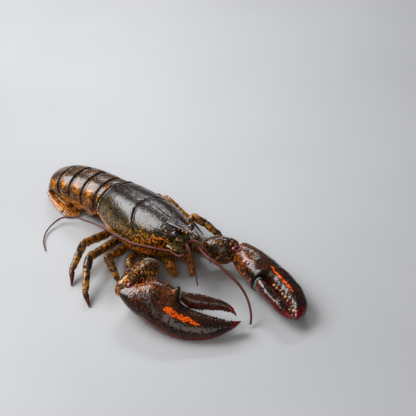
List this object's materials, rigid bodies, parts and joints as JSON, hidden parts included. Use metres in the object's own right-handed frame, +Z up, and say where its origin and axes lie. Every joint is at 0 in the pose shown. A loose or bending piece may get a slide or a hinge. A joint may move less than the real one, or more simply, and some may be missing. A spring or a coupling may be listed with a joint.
{
  "type": "american lobster",
  "caption": "American lobster, life size, a still model lying on its belly with claws forward and tail curled under",
  "frame": {"origin": "centre of the small flat under the breast that the animal rests on", "axes": "+X towards the head, +Y to the animal's left, +Z up out of the back; the lobster stands on the plane z = 0"},
  "size_m": [0.2749, 0.1398, 0.0484],
  "materials": {
    "shell": "glossy, dark green-brown shell with orange-brown flanks",
    "claw_shell": "glossy, dark brown shell with red edges and an orange-red streak",
    "leg_shell": "satin, olive-brown with dark blotches and red-brown points",
    "feeler": "satin, maroon",
    "eye": "very glossy black",
    "tail_fan": "glossy orange-brown",
    "underside": "satin, yellow-orange to pale brown"
  },
  "bodies": {
    "root": {"abdomen_1": "shell", "abdomen_2": "shell", "abdomen_3": "shell", "abdomen_4": "shell", "abdomen_5": "shell", "abdomen_6": "shell", "antenna_base_l": "shell", "antenna_base_r": "shell", "antenna_l": "feeler", "antenna_r": "feeler", "antennule_l": "feeler", "antennule_r": "feeler", "arm_l_carpus": "claw_shell", "arm_l_ischium": "claw_shell", "arm_l_merus": "claw_shell", "arm_r_carpus": "claw_shell", "arm_r_ischium": "claw_shell", "arm_r_merus": "claw_shell", "carapace": "shell", "claw_l_dactyl": "claw_shell", "claw_l_palm": "claw_shell", "claw_r_dactyl": "claw_shell", "claw_r_palm": "claw_shell", "eye_l": "eye", "eye_r": "eye", "head": "shell", "leg2_l_lower": "leg_shell", "leg2_l_upper": "leg_shell", "leg2_r_lower": "leg_shell", "leg2_r_upper": "leg_shell", "leg3_l_lower": "leg_shell", "leg3_l_upper": "leg_shell", "leg3_r_lower": "leg_shell", "leg3_r_upper": "leg_shell", "leg4_l_lower": "leg_shell", "leg4_l_upper": "leg_shell", "leg4_r_lower": "leg_shell", "leg4_r_upper": "leg_shell", "leg5_l_lower": "leg_shell", "leg5_l_upper": "leg_shell", "leg5_r_lower": "leg_shell", "leg5_r_upper": "leg_shell", "maxilliped_l": "underside", "maxilliped_r": "underside", "swimmerets_l": "underside", "swimmerets_r": "underside", "telson": "tail_fan", "thorax": "underside", "uropod_inner_l": "tail_fan", "uropod_inner_r": "tail_fan", "uropod_outer_l": "tail_fan", "uropod_outer_r": "tail_fan"}
  },
  "joints": []
}
